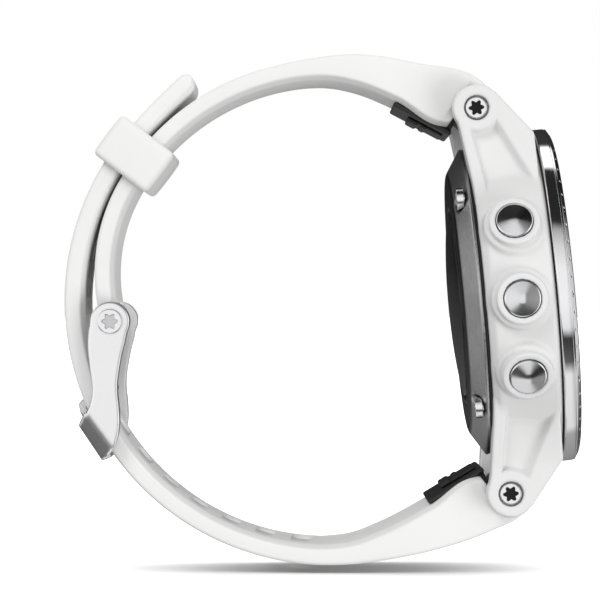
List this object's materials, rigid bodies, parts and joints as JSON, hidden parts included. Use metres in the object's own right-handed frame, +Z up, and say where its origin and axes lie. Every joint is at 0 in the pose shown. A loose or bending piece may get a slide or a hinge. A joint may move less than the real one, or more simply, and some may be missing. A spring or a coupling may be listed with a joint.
{
  "type": "sports watch",
  "caption": "Round GPS sports watch with a polished bezel and side buttons, on a buckled silicone strap with a keeper, a pin buckle and quick-release strap ends",
  "frame": {"origin": "centre of the footprint, on the surface that the closed strap stands on", "axes": "+Z up towards the 12 o'clock lugs, +X out through the dial, +Y towards the 3 o'clock side; the dial's normal points 5.1 degrees above +X"},
  "size_m": [0.0642, 0.0439, 0.0633],
  "materials": {
    "white_case": "satin moulded fibre-reinforced polymer",
    "white_silicone": "matte white silicone",
    "polished_steel": "mirror-polished stainless steel",
    "brushed_steel": "fine bead-blasted and brushed stainless steel",
    "dark_steel": "dark brushed stainless steel",
    "black_polymer": "matte black polymer",
    "black_rubber": "black sealing rubber",
    "lens_glass": "clear flat glass",
    "display_glass": "dark glossy display face",
    "circuit_board": "green solder mask",
    "battery_wrap": "silver foil pouch",
    "copper": "copper and polyimide flexible circuit"
  },
  "bodies": {
    "root": {"case_shell": "white_case", "upper_strap": "white_silicone", "lower_strap": "white_silicone", "bezel": "polished_steel", "vibration_motor": "polished_steel", "rear_screw_1": "polished_steel", "rear_screw_2": "polished_steel", "rear_screw_3": "polished_steel", "rear_screw_4": "polished_steel", "upper_lug_pin": "polished_steel", "lower_lug_pin": "polished_steel", "upper_lug_screw": "polished_steel", "lower_lug_screw": "polished_steel", "rear_cover": "dark_steel", "inner_chassis": "black_polymer", "upper_strap_link": "black_polymer", "lower_strap_link": "black_polymer", "charging_contacts": "black_polymer", "rear_gasket": "black_rubber", "lens_gasket": "black_rubber", "lens": "lens_glass", "display_panel": "display_glass", "sensor_window": "display_glass", "main_board": "circuit_board", "sensor_board": "circuit_board", "battery": "battery_wrap", "gps_antenna_ring": "copper", "beeper": "copper", "left_switch_strip": "copper", "right_switch_strip": "copper"},
    "light_button_body": {"light_button": "polished_steel", "light_button_clip": "brushed_steel"},
    "up_button_body": {"up_button": "polished_steel", "up_button_clip": "brushed_steel"},
    "down_button_body": {"down_button": "polished_steel", "down_button_clip": "brushed_steel"},
    "start_button_body": {"start_button": "polished_steel", "start_button_clip": "brushed_steel"},
    "back_button_body": {"back_button": "polished_steel", "back_button_clip": "brushed_steel"},
    "upper_latch_body": {"upper_latch": "black_polymer"},
    "lower_latch_body": {"lower_latch": "black_polymer"},
    "keeper_body": {"keeper": "white_silicone"},
    "buckle_body": {"buckle_frame": "brushed_steel", "buckle_bar": "brushed_steel", "buckle_left_screw": "polished_steel", "buckle_right_screw": "polished_steel"},
    "tang_body": {"buckle_tang": "brushed_steel"}
  },
  "joints": [
    {"name": "light_press", "type": "slide", "parent": "root", "child": "light_button_body", "axis": [0.0383, 0.9026, -0.4288], "range_m": [0, 0.0007], "stiffness_N_per_m": 700, "springref_m": -0.0008},
    {"name": "up_press", "type": "slide", "parent": "root", "child": "up_button_body", "axis": [0, 1, 0], "range_m": [0, 0.0007], "stiffness_N_per_m": 700, "springref_m": -0.0008},
    {"name": "down_press", "type": "slide", "parent": "root", "child": "down_button_body", "axis": [-0.0383, 0.9026, 0.4288], "range_m": [0, 0.0007], "stiffness_N_per_m": 700, "springref_m": -0.0008},
    {"name": "start_press", "type": "slide", "parent": "root", "child": "start_button_body", "axis": [0.0383, -0.9026, -0.4288], "range_m": [0, 0.0007], "stiffness_N_per_m": 700, "springref_m": -0.0008},
    {"name": "back_press", "type": "slide", "parent": "root", "child": "back_button_body", "axis": [-0.0383, -0.9026, 0.4288], "range_m": [0, 0.0007], "stiffness_N_per_m": 700, "springref_m": -0.0008},
    {"name": "upper_latch_slide", "type": "slide", "parent": "root", "child": "upper_latch_body", "axis": [-0.9342, 0, 0.3567], "range_m": [0, 0.002], "stiffness_N_per_m": 250, "springref_m": -0.001},
    {"name": "lower_latch_slide", "type": "slide", "parent": "root", "child": "lower_latch_body", "axis": [-0.8563, 0, -0.5165], "range_m": [0, 0.002], "stiffness_N_per_m": 250, "springref_m": -0.001},
    {"name": "keeper_slide", "type": "hinge", "parent": "root", "child": "keeper_body", "pos_m": [0.0006, 0.00065, 0.0327], "axis": [0, 1, 0], "range_deg": [-8, 6]},
    {"name": "buckle_swing", "type": "hinge", "parent": "root", "child": "buckle_body", "pos_m": [-0.02632, 0.00065, 0.03022], "axis": [0, 1, 0], "range_deg": [0, 55]},
    {"name": "tang_swing", "type": "hinge", "parent": "root", "child": "tang_body", "pos_m": [-0.02632, 0.00065, 0.03022], "axis": [0, 1, 0], "range_deg": [-1.5, 1.5]}
  ]
}
